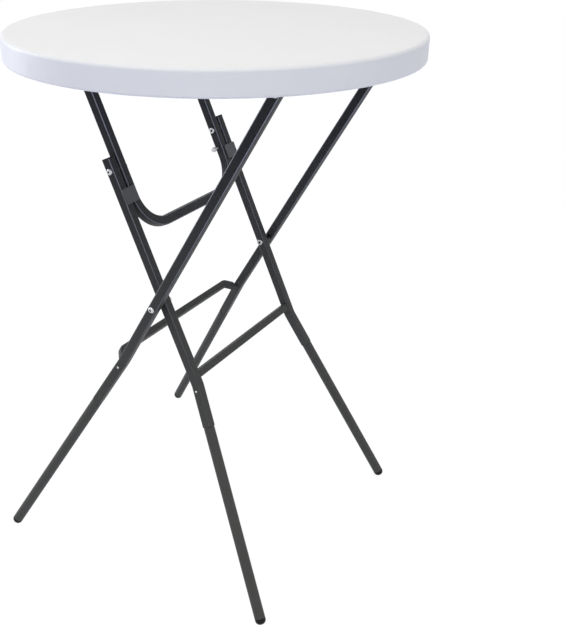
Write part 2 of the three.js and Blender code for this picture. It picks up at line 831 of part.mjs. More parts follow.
// Bolt, spacer bush and nut of one scissor pivot
function addScissorPivot(group, name, sign) {
  const headSeat = outerFace + seatGap;
  const nutSeat = innerInnerFace - seatGap;
  const shankEnd = nutSeat - nutThickness + boltEndInset;
  const shank = headSeat - shankEnd;
  const bolt = domeHeaded(boltHeadRadius, boltHeadHeight, boltRadius, shank, turnedFacets);
  faceOutward(addPiece(group, `scissor_bolt_${name}`, bolt, finish.brightSteel()), sign, headSeat, 0);

  const bushLength = outerInnerFace - innerFace - 2 * seatGap;
  const bush = ring(bushRadius, boltRadius + runningGap, bushLength, turnedFacets);
  const bushPiece = addPiece(group, `scissor_bush_${name}`, bush, finish.blackPlastic());
  faceOutward(bushPiece, sign, innerFace + seatGap, 0);

  const nut = ring(nutRadius, boltRadius + runningGap, nutThickness, turnedFacets);
  const nutPiece = addPiece(group, `scissor_nut_${name}`, nut, finish.brightSteel());
  faceOutward(nutPiece, sign, nutSeat - nutThickness, 0);
}

function makeInnerFrame() {
  const group = frameGroup(scissor, innerUp);
  const flare = flareOf(
    scissor,
    innerUp,
    innerFoot,
    innerHalfWidth,
    innerFootHalfWidth,
    innerFlareDrop,
    innerButtonDrop,
  );
  const topReach = kneeReach + innerTopReach;
  for (const { name, sign } of sides) {
    const cutters = [
      acrossTube(boltRadius + runningGap, sign, innerHalfWidth, 0),
      acrossTube(boltRadius + runningGap, sign, innerHalfWidth, kneeReach),
      wallBore(buttonRadius + runningGap, flarePlace(flare, sign, innerButtonDrop, 1)),
    ];
    if (name === 'back') {
      const hole = lockPinRadius + lockHoleGap;
      const wallEnd = innerInnerFace + tubeWall + overrun;
      cutters.push(boreAlongX(hole, innerInnerFace - overrun, wallEnd, kneeReach - lockPinDrop, 0));
    }
    const leg = cutAway(legTube(sign, topReach, flare), cutters);
    addPiece(group, `inner_leg_${name}`, leg, finish.coatedSteel());
    addLowerLeg(group, 'inner', name, sign, flare);
    addTopPlug(group, `inner_top_plug_${name}`, openEndStubLength, sign * innerHalfWidth, topReach);
    addKneeBolt(group, name, sign);
  }
  const barLengthInside = 2 * (innerInnerFace - seatGap);
  const straight = new BentPath(
    [
      new THREE.Vector3(-barLengthInside / 2, -innerCrossDrop, 0),
      new THREE.Vector3(barLengthInside / 2, -innerCrossDrop, 0),
    ],
    crossBarSide,
    1,
  );
  addPiece(group, 'inner_cross_bar', squareTube(straight, crossBarSide, crossBarCorner), finish.coatedSteel());
  return group;
}

// The half of a knee pivot that stays in the inner leg: its bolt and the bush around its end
function addKneeBolt(group, name, sign) {
  const headSeat = innerFace + seatGap;
  const bushEnd = barFace + kneeSlidingGap;
  const shank = headSeat - bushEnd - seatGap;
  const bolt = domeHeaded(boltHeadRadius, boltHeadHeight, boltRadius, shank, turnedFacets);
  faceOutward(addPiece(group, `knee_bolt_${name}`, bolt, finish.brightSteel()), sign, headSeat, kneeReach);

  const bush = ring(bushRadius, boltRadius + runningGap, innerInnerFace - seatGap - bushEnd, turnedFacets);
  faceOutward(addPiece(group, `knee_bush_${name}`, bush, finish.blackPlastic()), sign, bushEnd, kneeReach);
}

function makeLockingBar() {
  const group = frameGroup(knee, innerUp);
  const topReach = barLength + hingeEndReach;
  const path = new BentPath(
    [
      new THREE.Vector3(-barHalfWidth, topReach, 0),
      new THREE.Vector3(-barHalfWidth, -barReach, 0),
      new THREE.Vector3(barHalfWidth, -barReach, 0),
      new THREE.Vector3(barHalfWidth, topReach, 0),
    ],
    barBendRadius,
    barBendSteps,
  );
  const cutters = [acrossTube(lockPinRadius + runningGap, 1, barHalfWidth, -lockPinDrop)];
  for (const { sign } of sides) {
    cutters.push(acrossTube(boltRadius + runningGap, sign, barHalfWidth, 0));
    cutters.push(acrossTube(axleRadius + runningGap, sign, barHalfWidth, barLength));
  }
  const bar = cutAway(squareTube(path, tubeSide, tubeCorner), cutters);
  addPiece(group, 'locking_bar', bar, finish.coatedSteel());

  for (const { name, sign } of sides) {
    addTopPlug(group, `bar_top_plug_${name}`, hingeEndStubLength, sign * barHalfWidth, topReach);
    addStopPlate(group, name, sign);
    addKneeRivet(group, name, sign);
  }
  addLockSpring(group);
  return group;
}

// Flat plate on the locking bar that comes to rest on the inner leg
function addStopPlate(group, name, sign) {
  const width = innerFace - barInnerFace - stopPlateInset;
  const outline = roundedRectangle(width, stopPlateLength, stopPlateCorner);
  const plate = new THREE.ExtrudeGeometry(outline, {
    depth: stopPlateThickness,
    bevelEnabled: false,
    curveSegments: cornerSteps,
  });
  addPiece(group, `stop_plate_${name}`, plate, finish.coatedPlate()).position.set(
    sign * (barInnerFace + stopPlateInset + width / 2),
    stopPlateAboveRun + stopPlateLength / 2 - barReach,
    halfTube + seatGap,
  );
}

// The half of a knee pivot that stays in the locking bar, with a hollow end inside
function addKneeRivet(group, name, sign) {
  const headSeat = barInnerFace - seatGap;
  const shankLength = barFace - seatGap - headSeat;
  const rivet = turned([
    [0, rivetBoreDepth - rivetHeadHeight],
    [rivetBoreRadius, rivetBoreDepth - rivetHeadHeight],
    [rivetBoreRadius, -rivetHeadHeight],
    [rivetHeadRadius - rivetHeadHeight / 3, -rivetHeadHeight],
    [rivetHeadRadius, -rivetHeadHeight / 2],
    [rivetHeadRadius, 0],
    [boltRadius, 0],
    [boltRadius, shankLength],
    [0, shankLength],
  ], turnedFacets);
  faceOutward(addPiece(group, `knee_rivet_${name}`, rivet, finish.brightSteel()), sign, headSeat, 0);
}

// Where the collar of the lock pin starts inside the bar when the pin is at rest
function lockCollarPlace() {
  return barFace - tubeWall - lockCollarInset - lockCollarThickness;
}

// The spring round the lock pin, at its pressed length against the inner wall of the bar
function addLockSpring(group) {
  const seat = barInnerFace + tubeWall + seatGap;
  const pressedLength = lockCollarPlace() - lockPinTravel - seatGap - seat;
  const spring = ring(lockSpringRadius, lockPinRadius + runningGap, pressedLength, turnedFacets);
  faceOutward(addPiece(group, 'lock_spring', spring, finish.brightSteel()), 1, seat, -lockPinDrop);
}

// Pull pin on the back arm: knob inside the frame, collar in the tube, tip towards the leg
function makeLockPin() {
  const group = frameGroup(knee, innerUp);
  const knobEnd = barInnerFace - lockPinStandOff;
  const tip = innerInnerFace - kneeSlidingGap - knobEnd;
  const collar = lockCollarPlace() - knobEnd;
  const knobMiddle = lockKnobLength / 2;
  const pin = turned([
    [0, 0],
    [lockKnobRadius - lockTipChamfer, 0],
    [lockKnobRadius, lockTipChamfer],
    [lockKnobRadius, knobMiddle - lockKnobGroove],
    [lockKnobRadius - lockKnobGroove, knobMiddle],
    [lockKnobRadius, knobMiddle + lockKnobGroove],
    [lockKnobRadius, lockKnobLength - lockTipChamfer],
    [lockKnobRadius - lockTipChamfer, lockKnobLength],
    [lockPinRadius, lockKnobLength],
    [lockPinRadius, collar],
    [lockCollarRadius, collar],
    [lockCollarRadius, collar + lockCollarThickness],
    [lockPinRadius, collar + lockCollarThickness],
    [lockPinRadius, tip - lockTipChamfer],
    [lockPinRadius - lockTipChamfer, tip],
    [0, tip],
  ], turnedFacets);
  faceOutward(addPiece(group, 'lock_pin', pin, finish.brightSteel()), 1, knobEnd, -lockPinDrop);
  return group;
}

const table = new THREE.Group();
table.add(makeTop(), makeOuterFrame(), makeInnerFrame(), makeLockingBar(), makeLockPin());

export default table;
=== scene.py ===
import math

import bmesh
import bpy
from mathutils import Matrix, Vector


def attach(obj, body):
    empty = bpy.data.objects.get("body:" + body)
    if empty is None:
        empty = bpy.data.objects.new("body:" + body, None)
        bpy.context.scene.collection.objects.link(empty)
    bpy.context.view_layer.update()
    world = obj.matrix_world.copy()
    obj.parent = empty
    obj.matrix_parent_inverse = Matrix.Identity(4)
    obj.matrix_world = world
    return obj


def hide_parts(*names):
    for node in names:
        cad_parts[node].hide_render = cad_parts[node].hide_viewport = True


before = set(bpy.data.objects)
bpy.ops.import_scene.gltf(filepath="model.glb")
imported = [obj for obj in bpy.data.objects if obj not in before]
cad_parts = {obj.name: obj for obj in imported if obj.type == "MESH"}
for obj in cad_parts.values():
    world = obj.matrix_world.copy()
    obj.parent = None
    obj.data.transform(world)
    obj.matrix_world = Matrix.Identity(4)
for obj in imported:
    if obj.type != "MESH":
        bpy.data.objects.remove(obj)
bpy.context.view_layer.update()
scene = bpy.context.scene

# ---- The view ----
# The table stands on a pale floor and is seen from the front, a little to its right and above.
# The camera's place and lens follow from the round top's rim and from the feet.
view_lens = bpy.data.cameras.new("view")
view_lens.sensor_width = 36
view_lens.lens = 50.71
view_lens.shift_x = 0.1048
view_lens.shift_y = -0.0326
view_lens.clip_start = 0.05
view_lens.clip_end = 40
view = bpy.data.objects.new("view", view_lens)
view.location = (0.9529, -1.4893, 1.3662)
view.rotation_euler = (math.radians(64.62), 0, math.radians(32.61))
scene.collection.objects.link(view)
scene.camera = view
scene.view_settings.view_transform = "Standard"


# ---- Floor, surroundings and lamps ----
# A plain white floor that keeps a soft shadow and can be looked through from below. A cool window
# stands far on the left, with a soft box above and three weak lamps in front, right and low down.
def own_nodes(owner):
    """Empties a material's or world's node tree and returns it with its output node."""
    owner.use_nodes = True
    tree = owner.node_tree
    tree.nodes.clear()
    kind = "ShaderNodeOutputWorld" if isinstance(owner, bpy.types.World) else "ShaderNodeOutputMaterial"
    return tree, tree.nodes.new(kind)


def background_rays(tree):
    """1 for rays from the camera, in a reflection or through glass, else 0."""
    path = tree.nodes.new("ShaderNodeLightPath")
    seen = path.outputs["Is Camera Ray"]
    for other in ("Is Glossy Ray", "Is Transmission Ray"):
        either = tree.nodes.new("ShaderNodeMath")
        either.operation = "MAXIMUM"
        tree.links.new(seen, either.inputs[0])
        tree.links.new(path.outputs[other], either.inputs[1])
        seen = either.outputs[0]
    return seen


def feed(tree, socket, value):
    """Sets a socket to a number or a colour, or links it to another node's output."""
    if isinstance(value, bpy.types.NodeSocket):
        tree.links.new(value, socket)
    else:
        socket.default_value = (*value, 1) if isinstance(value, tuple) else value


def ramp(tree, value, start, end, low=0, high=1):
    """A value that runs from low to high while another runs from start to end."""
    spread = tree.nodes.new("ShaderNodeMapRange")
    for name, given in (("Value", value), ("From Min", start), ("From Max", end), ("To Min", low),
                        ("To Max", high)):
        feed(tree, spread.inputs[name], given)
    return spread.outputs["Result"]


def colour_mix(tree, mask, first, second):
    """A colour that goes from the first to the second by a mask."""
    blend = tree.nodes.new("ShaderNodeMix")
    blend.data_type = "RGBA"
    feed(tree, blend.inputs[0], mask)
    feed(tree, blend.inputs[6], first)
    feed(tree, blend.inputs[7], second)
    return blend.outputs[2]


def shader_mix(tree, mask, first, second):
    """A shader that goes from the first to the second by a mask."""
    mix = tree.nodes.new("ShaderNodeMixShader")
    tree.links.new(mask, mix.inputs["Fac"])
    tree.links.new(first.outputs[0], mix.inputs[1])
    tree.links.new(second.outputs[0], mix.inputs[2])
    return mix


surroundings = bpy.data.worlds.new("even light")
scene.world = surroundings
tree, output = own_nodes(surroundings)
direction = tree.nodes.new("ShaderNodeTexCoord")
upward = tree.nodes.new("ShaderNodeSeparateXYZ")
tree.links.new(direction.outputs["Generated"], upward.inputs[0])
horizon_colour = (0.58, 0.68, 1)
overhead_colour = (1, 0.985, 0.96)
climb = ramp(tree, upward.outputs["Z"], start=0, end=0.7)
even = tree.nodes.new("ShaderNodeBackground")
even.inputs["Strength"].default_value = 0.57
tree.links.new(colour_mix(tree, climb, horizon_colour, overhead_colour), even.inputs["Color"])
white = tree.nodes.new("ShaderNodeBackground")
white.inputs["Color"].default_value = (1, 1, 1, 1)
white.inputs["Strength"].default_value = 1
around = shader_mix(tree, background_rays(tree), even, white)
tree.links.new(around.outputs[0], output.inputs["Surface"])

floor_finish = bpy.data.materials.new("pale floor")
tree, output = own_nodes(floor_finish)
matt = tree.nodes.new("ShaderNodeBsdfDiffuse")
matt.inputs["Color"].default_value = (0.80, 0.83, 0.97, 1)
bright = tree.nodes.new("ShaderNodeEmission")
bright.inputs["Strength"].default_value = 1.07
share = tree.nodes.new("ShaderNodeMath")
share.operation = "MULTIPLY"
share.inputs[1].default_value = 0.90
tree.links.new(background_rays(tree), share.inputs[0])
lit = shader_mix(tree, share.outputs[0], matt, bright)
clear = tree.nodes.new("ShaderNodeBsdfTransparent")
facing = tree.nodes.new("ShaderNodeNewGeometry")
one_sided = shader_mix(tree, facing.outputs["Backfacing"], lit, clear)
tree.links.new(one_sided.outputs[0], output.inputs["Surface"])

floor_radius = 9
floor_drop = 0.0003
shape = bmesh.new()
bmesh.ops.create_circle(shape, segments=96, radius=floor_radius, cap_ends=True,
                        matrix=Matrix.Translation((0, 0, -floor_drop)))
floor_mesh = bpy.data.meshes.new("floor")
shape.to_mesh(floor_mesh)
shape.free()
floor_mesh.materials.append(floor_finish)
floor = bpy.data.objects.new("floor", floor_mesh)
scene.collection.objects.link(floor)


def soft_lamp(name, place, aim_height, width, height, power, colour):
    """A rectangular lamp that points to a height on the table's middle line."""
    lamp = bpy.data.lights.new(name, "AREA")
    lamp.color = colour
    lamp.shape = "RECTANGLE"
    lamp.size = width
    lamp.size_y = height
    lamp.energy = power
    held = bpy.data.objects.new(name, lamp)
    held.location = place
    aim = Vector((0, 0, aim_height))
    held.rotation_euler = (aim - Vector(place)).to_track_quat("-Z", "Y").to_euler()
    scene.collection.objects.link(held)


soft_lamp("left window", (-3.3, -0.3, 1.5), aim_height=0.9, width=0.6, height=2.2, power=34,
          colour=(0.88, 0.90, 1))
soft_lamp("front strip", (1.15, -3.0, 1.5), aim_height=0.8, width=0.4, height=1.8, power=4,
          colour=(0.84, 0.87, 1))
soft_lamp("right fill", (3.2, 0.2, 1.2), aim_height=0.9, width=1.2, height=1.2, power=6,
          colour=(1, 0.93, 0.80))
soft_lamp("low bounce", (0.8, -1.7, 0.10), aim_height=0.05, width=1.6, height=0.16, power=0.8,
          colour=(1, 0.92, 0.78))
soft_lamp("soft box", (0.3, -1.3, 3.6), aim_height=0.9, width=2.4, height=2.0, power=40,
          colour=(1, 0.985, 0.95))


# ---- Round top ----
# Blow-moulded white polyethylene: a hollow shell with a deep rim, rounded more above than below,
# and a recessed underside with one vent hole. Its skin is finely grained.
def grain_group():
    """Fine moulded or sprayed grain, with slow changes of tone over the surface."""
    group = bpy.data.node_groups.new("surface grain", "ShaderNodeTree")
    group.interface.new_socket("Place", in_out="INPUT", socket_type="NodeSocketVector")
    for name in ("Grain", "Mottle", "Speckle"):
        group.interface.new_socket(name, in_out="INPUT", socket_type="NodeSocketFloat")
    for name in ("Height", "Tone", "Specks"):
        group.interface.new_socket(name, in_out="OUTPUT", socket_type="NodeSocketFloat")
    given = group.nodes.new("NodeGroupInput")
    made = group.nodes.new("NodeGroupOutput")
    for scale, name, detail, roughness in (("Grain", "Height", 3, 0.55), ("Mottle", "Tone", 4, 0.6),
                                           ("Speckle", "Specks", 1, 0.5)):
        noise = group.nodes.new("ShaderNodeTexNoise")
        noise.inputs["Detail"].default_value = detail
        noise.inputs["Roughness"].default_value = roughness
        group.links.new(given.outputs["Place"], noise.inputs["Vector"])
        group.links.new(given.outputs[scale], noise.inputs["Scale"])
        sparse = name == "Specks"
        mask = ramp(group, noise.outputs["Fac"], 0.62, 0.74) if sparse else noise.outputs["Fac"]
        group.links.new(mask, made.inputs[name])
    return group


surface_grain = grain_group()


def start_finish(name, grain, mottle, speckle, depth, metallic=0):
    """A material with its grain group and bump in place; colours and roughness come after."""
    finish = bpy.data.materials.new(name)
    tree, output = own_nodes(finish)
    surface = tree.nodes.new("ShaderNodeBsdfPrincipled")
    surface.inputs["Metallic"].default_value = metallic
    tree.links.new(surface.outputs["BSDF"], output.inputs["Surface"])
    place = tree.nodes.new("ShaderNodeTexCoord")
    texture = tree.nodes.new("ShaderNodeGroup")
    texture.node_tree = surface_grain
    texture.inputs["Grain"].default_value = grain
    texture.inputs["Mottle"].default_value = mottle
    texture.inputs["Speckle"].default_value = speckle
    tree.links.new(place.outputs["Object"], texture.inputs["Place"])
    bump = tree.nodes.new("ShaderNodeBump")
    bump.inputs["Strength"].default_value = 1
    bump.inputs["Distance"].default_value = depth
    tree.links.new(texture.outputs["Height"], bump.inputs["Height"])
    tree.links.new(bump.outputs["Normal"], surface.inputs["Normal"])
    return finish, tree, surface, texture


def mottled_colour(tree, texture, surface, low, high):
    """Lets the colour wander slowly between two."""
    tree.links.new(colour_mix(tree, texture.outputs["Tone"], low, high), surface.inputs["Base Color"])


def varied_gloss(tree, mask, surface, low, high):
    """Lets the roughness change with a mask."""
    tree.links.new(ramp(tree, mask, 0, 1, low, high), surface.inputs["Roughness"])


def keep_piece(name, shape, finish, body, slot, *stands_for, at=None, sharp=38):
    """Turns a finished shape into a piece of the table, at its place, riding on its body."""
    if at:
        bmesh.ops.transform(shape, matrix=at, verts=shape.verts)
    bmesh.ops.recalc_face_normals(shape, faces=shape.faces)
    for face in shape.faces:
        face.smooth = True
    mesh = bpy.data.meshes.new(name)
    shape.to_mesh(mesh)
    shape.free()
    mesh.set_sharp_from_angle(angle=math.radians(sharp))
    mesh.materials.append(finish)
    piece = bpy.data.objects.new(name, mesh)
    scene.collection.objects.link(piece)
    even_shading = piece.modifiers.new("even shading", "WEIGHTED_NORMAL")
    even_shading.keep_sharp = True
    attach(piece, body)
    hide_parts(*stands_for)


def turned_shape(corners, facets):
    """Spins an outline about Z. Each corner is (radius, height, rounding)."""
    shape = bmesh.new()
    points = [shape.verts.new((radius, 0, height)) for radius, height, _ in corners]
    for here, following in zip(points, points[1:]):
        shape.edges.new((here, following))
    if corners[0][0] > 0:
        shape.edges.new((points[-1], points[0]))
    for point, (_, _, rounding) in zip(points, corners):
        if rounding:
            bmesh.ops.bevel(shape, geom=[point], offset=rounding, offset_type="OFFSET", segments=6,
                            profile=0.5, affect="VERTICES", material=-1)
    bmesh.ops.spin(shape, geom=shape.verts[:] + shape.edges[:], cent=(0, 0, 0), axis=(0, 0, 1),
                   angle=2 * math.pi, steps=facets, use_merge=True, use_duplicate=False)
    bmesh.ops.remove_doubles(shape, verts=shape.verts, dist=1e-6)
    return shape


def cut_out(shape, *cutters):
    """Takes the cutters out of a shape and returns what is left."""
    def as_object(part, name):
        mesh = bpy.data.meshes.new(name)
        bmesh.ops.recalc_face_normals(part, faces=part.faces)
        part.to_mesh(mesh)
        part.free()
        held = bpy.data.objects.new(name, mesh)
        scene.collection.objects.link(held)
        return held
    whole = as_object(shape, "blank")
    tools = [as_object(cutter, "cutter") for cutter in cutters]
    for tool in tools:
        cut = whole.modifiers.new("cut", "BOOLEAN")
        cut.operation = "DIFFERENCE"
        cut.solver = "EXACT"
        cut.object = tool
    result = bmesh.new()
    result.from_object(whole, bpy.context.evaluated_depsgraph_get())
    for used in (whole, *tools):
        mesh = used.data
        bpy.data.objects.remove(used)
        bpy.data.meshes.remove(mesh)
    return result


def drill(radius, start, end):
    """A plain rod between two places, for cutting a hole."""
    start, end = Vector(start), Vector(end)
    shape = bmesh.new()
    turn = (end - start).to_track_quat("Z", "Y").to_matrix().to_4x4()
    bmesh.ops.create_cone(shape, segments=32, radius1=radius, radius2=radius, cap_ends=True,
                          depth=(end - start).length, matrix=Matrix.Translation((start + end) / 2) @ turn)
    return shape


table_height = 1.1
top_radius = 0.4
rim_bottom = 1.053
rim_inner = 0.376
recess_radius = 0.373
underside = 1.072
vent_radius = 0.004
vent_place = 0.070
vent_depth = 0.006
overshoot = 0.002

white_plastic, tree, surface, texture = start_finish(
    "white moulded plastic", grain=520, mottle=3.5, speckle=1500, depth=0.00022)
mottled_colour(tree, texture, surface, (0.80, 0.80, 0.795), (0.86, 0.86, 0.855))
varied_gloss(tree, texture.outputs["Height"], surface, 0.36, 0.52)
surface.inputs["IOR"].default_value = 1.5
surface.inputs["Subsurface Weight"].default_value = 0.06
surface.inputs["Subsurface Radius"].default_value = (0.004, 0.004, 0.005)

shape = turned_shape((
    (0, table_height, 0),
    (top_radius, table_height, 0.007),
    (top_radius, rim_bottom, 0.004),
    (rim_inner, rim_bottom, 0.0095),
    (recess_radius, underside, 0.005),
    (0, underside, 0),
), facets=192)
vent = drill(vent_radius, (vent_place, 0, underside - overshoot), (vent_place, 0, underside + vent_depth))
shape = cut_out(shape, vent)
keep_piece("round_top", shape, white_plastic, "hinged_top", "white_plastic", "table_top", sharp=50)


# ---- Legs ----
# Each leg is a square steel tube with rounded corners, bent outward once below the scissor pivot, and
# a round tube pushed into it from below. All are powder coated in charcoal with a fine orange peel,
# with painted highlight lines along the upper corners and painted shade that leaves the coat darker
# and bluer high up under the top and lighter and warmer towards the floor.
def leg_plane(foot, head):
    """The plane of a folding frame: X along the axles, Y up the legs, Z square to both."""
    up = (Vector(head) - Vector(foot)).normalized()
    across = Vector((0, 1, 0))
    turn = Matrix((across, up, across.cross(up))).transposed().to_4x4()
    return Matrix.Translation(foot) @ turn


def only(kind, geometry):
    """The vertices, edges or faces among mixed geometry."""
    return [part for part in geometry if isinstance(part, kind)]


def push_tube(shape, ring, vector):
    """Draws the open end of a tube straight on."""
    drawn = bmesh.ops.extrude_edge_only(shape, edges=ring)["geom"]
    ends = only(bmesh.types.BMVert, drawn)
    bmesh.ops.translate(shape, verts=ends, vec=vector)
    kept = set(ends)
    return [edge for edge in only(bmesh.types.BMEdge, drawn) if all(v in kept for v in edge.verts)]


def square_tube(side, corner, points, bend_radius=0, wall=0.0015, bore=0.005, steps=8):
    """A tube along straight runs and round bends in its frame's plane, open a little at both ends.

    Each face's "corner" value says how far it lies on a rounded corner: 0 on a flat, 1 at 45 degrees.
    """
    shape = bmesh.new()
    points = [Vector((*point, 0)[:3]) for point in points]
    way = (points[1] - points[0]).normalized()
    start_way = way
    section = bmesh.ops.create_circle(shape, segments=4, radius=side / math.sqrt(2),
                                      matrix=Matrix.Rotation(math.pi / 4, 4, "Z"))
    bmesh.ops.bevel(shape, geom=section["verts"], offset=corner, offset_type="OFFSET", segments=6,
                    profile=0.5, affect="VERTICES", material=-1)
    turn = Matrix((way.cross(Vector((0, 0, 1))), Vector((0, 0, 1)), way)).transposed().to_4x4()
    bmesh.ops.transform(shape, matrix=Matrix.Translation(points[0]) @ turn, verts=shape.verts)
    first = shape.edges[:]
    ring = first
    spot = points[0]
    for bend, following in zip(points[1:-1], points[2:]):
        onward = (following - bend).normalized()
        axis = way.cross(onward).normalized()
        turn = way.angle(onward)
        setback = bend_radius * math.tan(turn / 2)
        ring = push_tube(shape, ring, bend - way * setback - spot)
        centre = bend - way * setback + axis.cross(way) * bend_radius
        verts = list(dict.fromkeys(v for edge in ring for v in edge.verts))
        bent = bmesh.ops.spin(shape, geom=verts + ring, cent=centre, axis=axis, angle=turn, steps=steps,
                              use_duplicate=False)
        ring = only(bmesh.types.BMEdge, bent["geom_last"])
        spot = bend + onward * setback
        way = onward
    last = push_tube(shape, ring, points[-1] - spot)
    bmesh.ops.recalc_face_normals(shape, faces=shape.faces)
    # The corner value also places the charcoal coat's painted highlight lines.
    rounded = shape.faces.layers.float.new("corner")
    for face in shape.faces:
        side_on = min(abs(face.normal.z), 1)
        face[rounded] = 2 * side_on * math.sqrt(1 - side_on * side_on)
    for loop, inward in ((first, start_way), (last, -way)):
        cap = bmesh.ops.contextual_create(shape, geom=loop)["faces"]
        if wall:
            bmesh.ops.recalc_face_normals(shape, faces=shape.faces)
            bmesh.ops.inset_region(shape, faces=cap, thickness=wall, use_even_offset=True)
            sunk = bmesh.ops.extrude_face_region(shape, geom=cap)["geom"]
            bmesh.ops.translate(shape, verts=only(bmesh.types.BMVert, sunk), vec=inward * bore)
            bmesh.ops.delete(shape, geom=[f for f in cap if f.is_valid], context="FACES_ONLY")
    return shape


def flared_leg(plane, half, drop, foot, joint_height, tube_end_height, button_drop):
    """A leg below its bend, for one side or the other: places on its axis and the way it runs."""
    standing = plane.inverted() @ Vector((foot[0], foot[1], 0))
    bend = Vector((half, -drop, 0))
    down = (standing - bend).normalized()
    fall = (plane @ bend).z - (plane @ (bend + down)).z
    return {"plane": plane, "bend": bend, "down": down, "button": button_drop,
            "joint": ((plane @ bend).z - joint_height) / fall,
            "end": ((plane @ bend).z - tube_end_height) / fall}


def on_leg(leg, sign, along, outward=0):
    """Where a shape made about Z goes: down the leg from its bend, or square out of its outer face."""
    down = Vector((sign * leg["down"].x, leg["down"].y, leg["down"].z))
    bend = Vector((sign * leg["bend"].x, leg["bend"].y, 0))
    turn = Vector((0, -1, 0)).rotation_difference(down).to_matrix().to_4x4()
    aside = Matrix.Identity(4)
    if outward:
        aside = Matrix.Translation((sign * outward, 0, 0)) @ Matrix.Rotation(sign * math.pi / 2, 4, "Y")
    else:
        turn = turn @ Matrix.Rotation(math.pi / 2, 4, "X")
    return leg["plane"] @ Matrix.Translation(bend + down * along) @ turn @ aside


coated_steel, tree, surface, texture = start_finish(
    "charcoal powder coat", grain=1100, mottle=14, speckle=3200, depth=0.00012)
tone = texture.outputs["Tone"]
# Painted shade: the coat is darker and bluer high up, where the top shades it, and lighter and warmer
# towards the floor as painted bounce light.
painted_shade_coat = colour_mix(tree, tone, (0.0170, 0.0175, 0.0200), (0.0230, 0.0235, 0.0260))
painted_bounce_coat = colour_mix(tree, tone, (0.0650, 0.0650, 0.0580), (0.0780, 0.0780, 0.0695))
# Painted highlight: a light colour along the tubes' rounded corners, strongest high up.
painted_highlight_colour = (0.26, 0.265, 0.295)
place = tree.nodes.new("ShaderNodeTexCoord")
above_floor = tree.nodes.new("ShaderNodeSeparateXYZ")
tree.links.new(place.outputs["Object"], above_floor.inputs[0])
# Mask of the painted shade: 1 near the floor, where the lighter coat is painted, and 0 high up.
painted_bounce_mask = ramp(tree, above_floor.outputs["Z"], start=0.30, end=0.95, low=1, high=0)
painted_highlight_height = ramp(tree, above_floor.outputs["Z"], start=0.45, end=0.95, low=0.08, high=1)
corners = tree.nodes.new("ShaderNodeAttribute")
corners.attribute_name = "corner"
# Mask of the painted highlight lines, which also makes those corners a little smoother.
painted_highlight_mask = ramp(tree, corners.outputs["Fac"], start=0.75, end=1, low=0, high=painted_highlight_height)
coat = colour_mix(tree, painted_bounce_mask, painted_shade_coat, painted_bounce_coat)
tree.links.new(colour_mix(tree, painted_highlight_mask, coat, painted_highlight_colour), surface.inputs["Base Color"])
plain_roughness = ramp(tree, texture.outputs["Specks"], start=0, end=1, low=0.42, high=0.54)
gloss = tree.nodes.new("ShaderNodeMath")
gloss.operation = "MULTIPLY_ADD"
gloss.inputs[1].default_value = -0.20
tree.links.new(painted_highlight_mask, gloss.inputs[0])
tree.links.new(plain_roughness, gloss.inputs[2])
tree.links.new(gloss.outputs[0], surface.inputs["Roughness"])
surface.inputs["IOR"].default_value = 1.22

scissor_pivot = (0.006556, 0, 0.600653)
outer_hinge = (0.265065, 0, 1.050)
bar_hinge = (-0.201, 0, 1.050)
outer_plane = leg_plane(scissor_pivot, outer_hinge)
inner_plane = leg_plane(scissor_pivot, bar_hinge)
clearance = 0.0003
tube_side = 0.020
tube_corner = 0.0045
leg_bend_radius = 0.045
outer_half = 0.228
inner_half = 0.193
outer_reach = 0.518401
inner_reach = 0.273652
outer_drop = 0.163
leg_tops = {"outer": outer_reach + 0.012, "inner": inner_reach + 0.024}
lower_radius = 0.011
lower_bore = 0.0095
bore_depth = 0.005
stub_radius = 0.008
stub_length = 0.004
button_radius = 0.0026
button_seat = 0.0014
pin_drop = 0.040
pin_hole_radius = 0.0036
pin_hole_start, pin_hole_end = 0.180, 0.187
sides = (("front", -1), ("back", 1))
legs = {
    "outer": flared_leg(outer_plane, outer_half, outer_drop, foot=(-0.339, 0.328), joint_height=0.360,
                        tube_end_height=0.012255, button_drop=0.016),
    "inner": flared_leg(inner_plane, inner_half, drop=0.182, foot=(0.3015, 0.297), joint_height=0.360,
                        tube_end_height=0.012268, button_drop=0.012),
}

for kind, leg in legs.items():
    for side, sign in sides:
        joint = leg["bend"] + leg["down"] * leg["joint"]
        shape = square_tube(tube_side, tube_corner, (
            (sign * leg["bend"].x, leg_tops[kind]),
            (sign * leg["bend"].x, leg["bend"].y),
            (sign * joint.x, joint.y, joint.z),
        ), bend_radius=leg_bend_radius)
        bmesh.ops.transform(shape, matrix=leg["plane"], verts=shape.verts)
        hole = drill(button_radius + clearance, (0, 0, -button_seat), (0, 0, overshoot))
        bmesh.ops.transform(hole, matrix=on_leg(leg, sign, leg["button"], tube_side / 2), verts=hole.verts)
        holes = [hole]
        if kind == "inner" and side == "back":
            pin_up = inner_reach - pin_drop
            hole = drill(pin_hole_radius, (pin_hole_start, pin_up, 0), (pin_hole_end, pin_up, 0))
            bmesh.ops.transform(hole, matrix=inner_plane, verts=hole.verts)
            holes.append(hole)
        shape = cut_out(shape, *holes)
        keep_piece(f"{kind}_leg_tube_{side}", shape, coated_steel, f"{kind}_frame", "coated_steel",
                   f"{kind}_leg_{side}")

        length = leg["end"] - leg["joint"]
        shape = turned_shape((
            (0, -stub_length, 0), (stub_radius, -stub_length, 0), (stub_radius, clearance, 0),
            (lower_radius, clearance, 0.0014), (lower_radius, length, 0.0003), (lower_bore, length, 0),
            (lower_bore, length - bore_depth, 0), (0, length - bore_depth, 0),
        ), facets=56)
        keep_piece(f"{kind}_round_leg_{side}", shape, coated_steel, f"{kind}_frame", "coated_steel",
                   f"{kind}_lower_leg_{side}", at=on_leg(leg, sign, leg["joint"]))


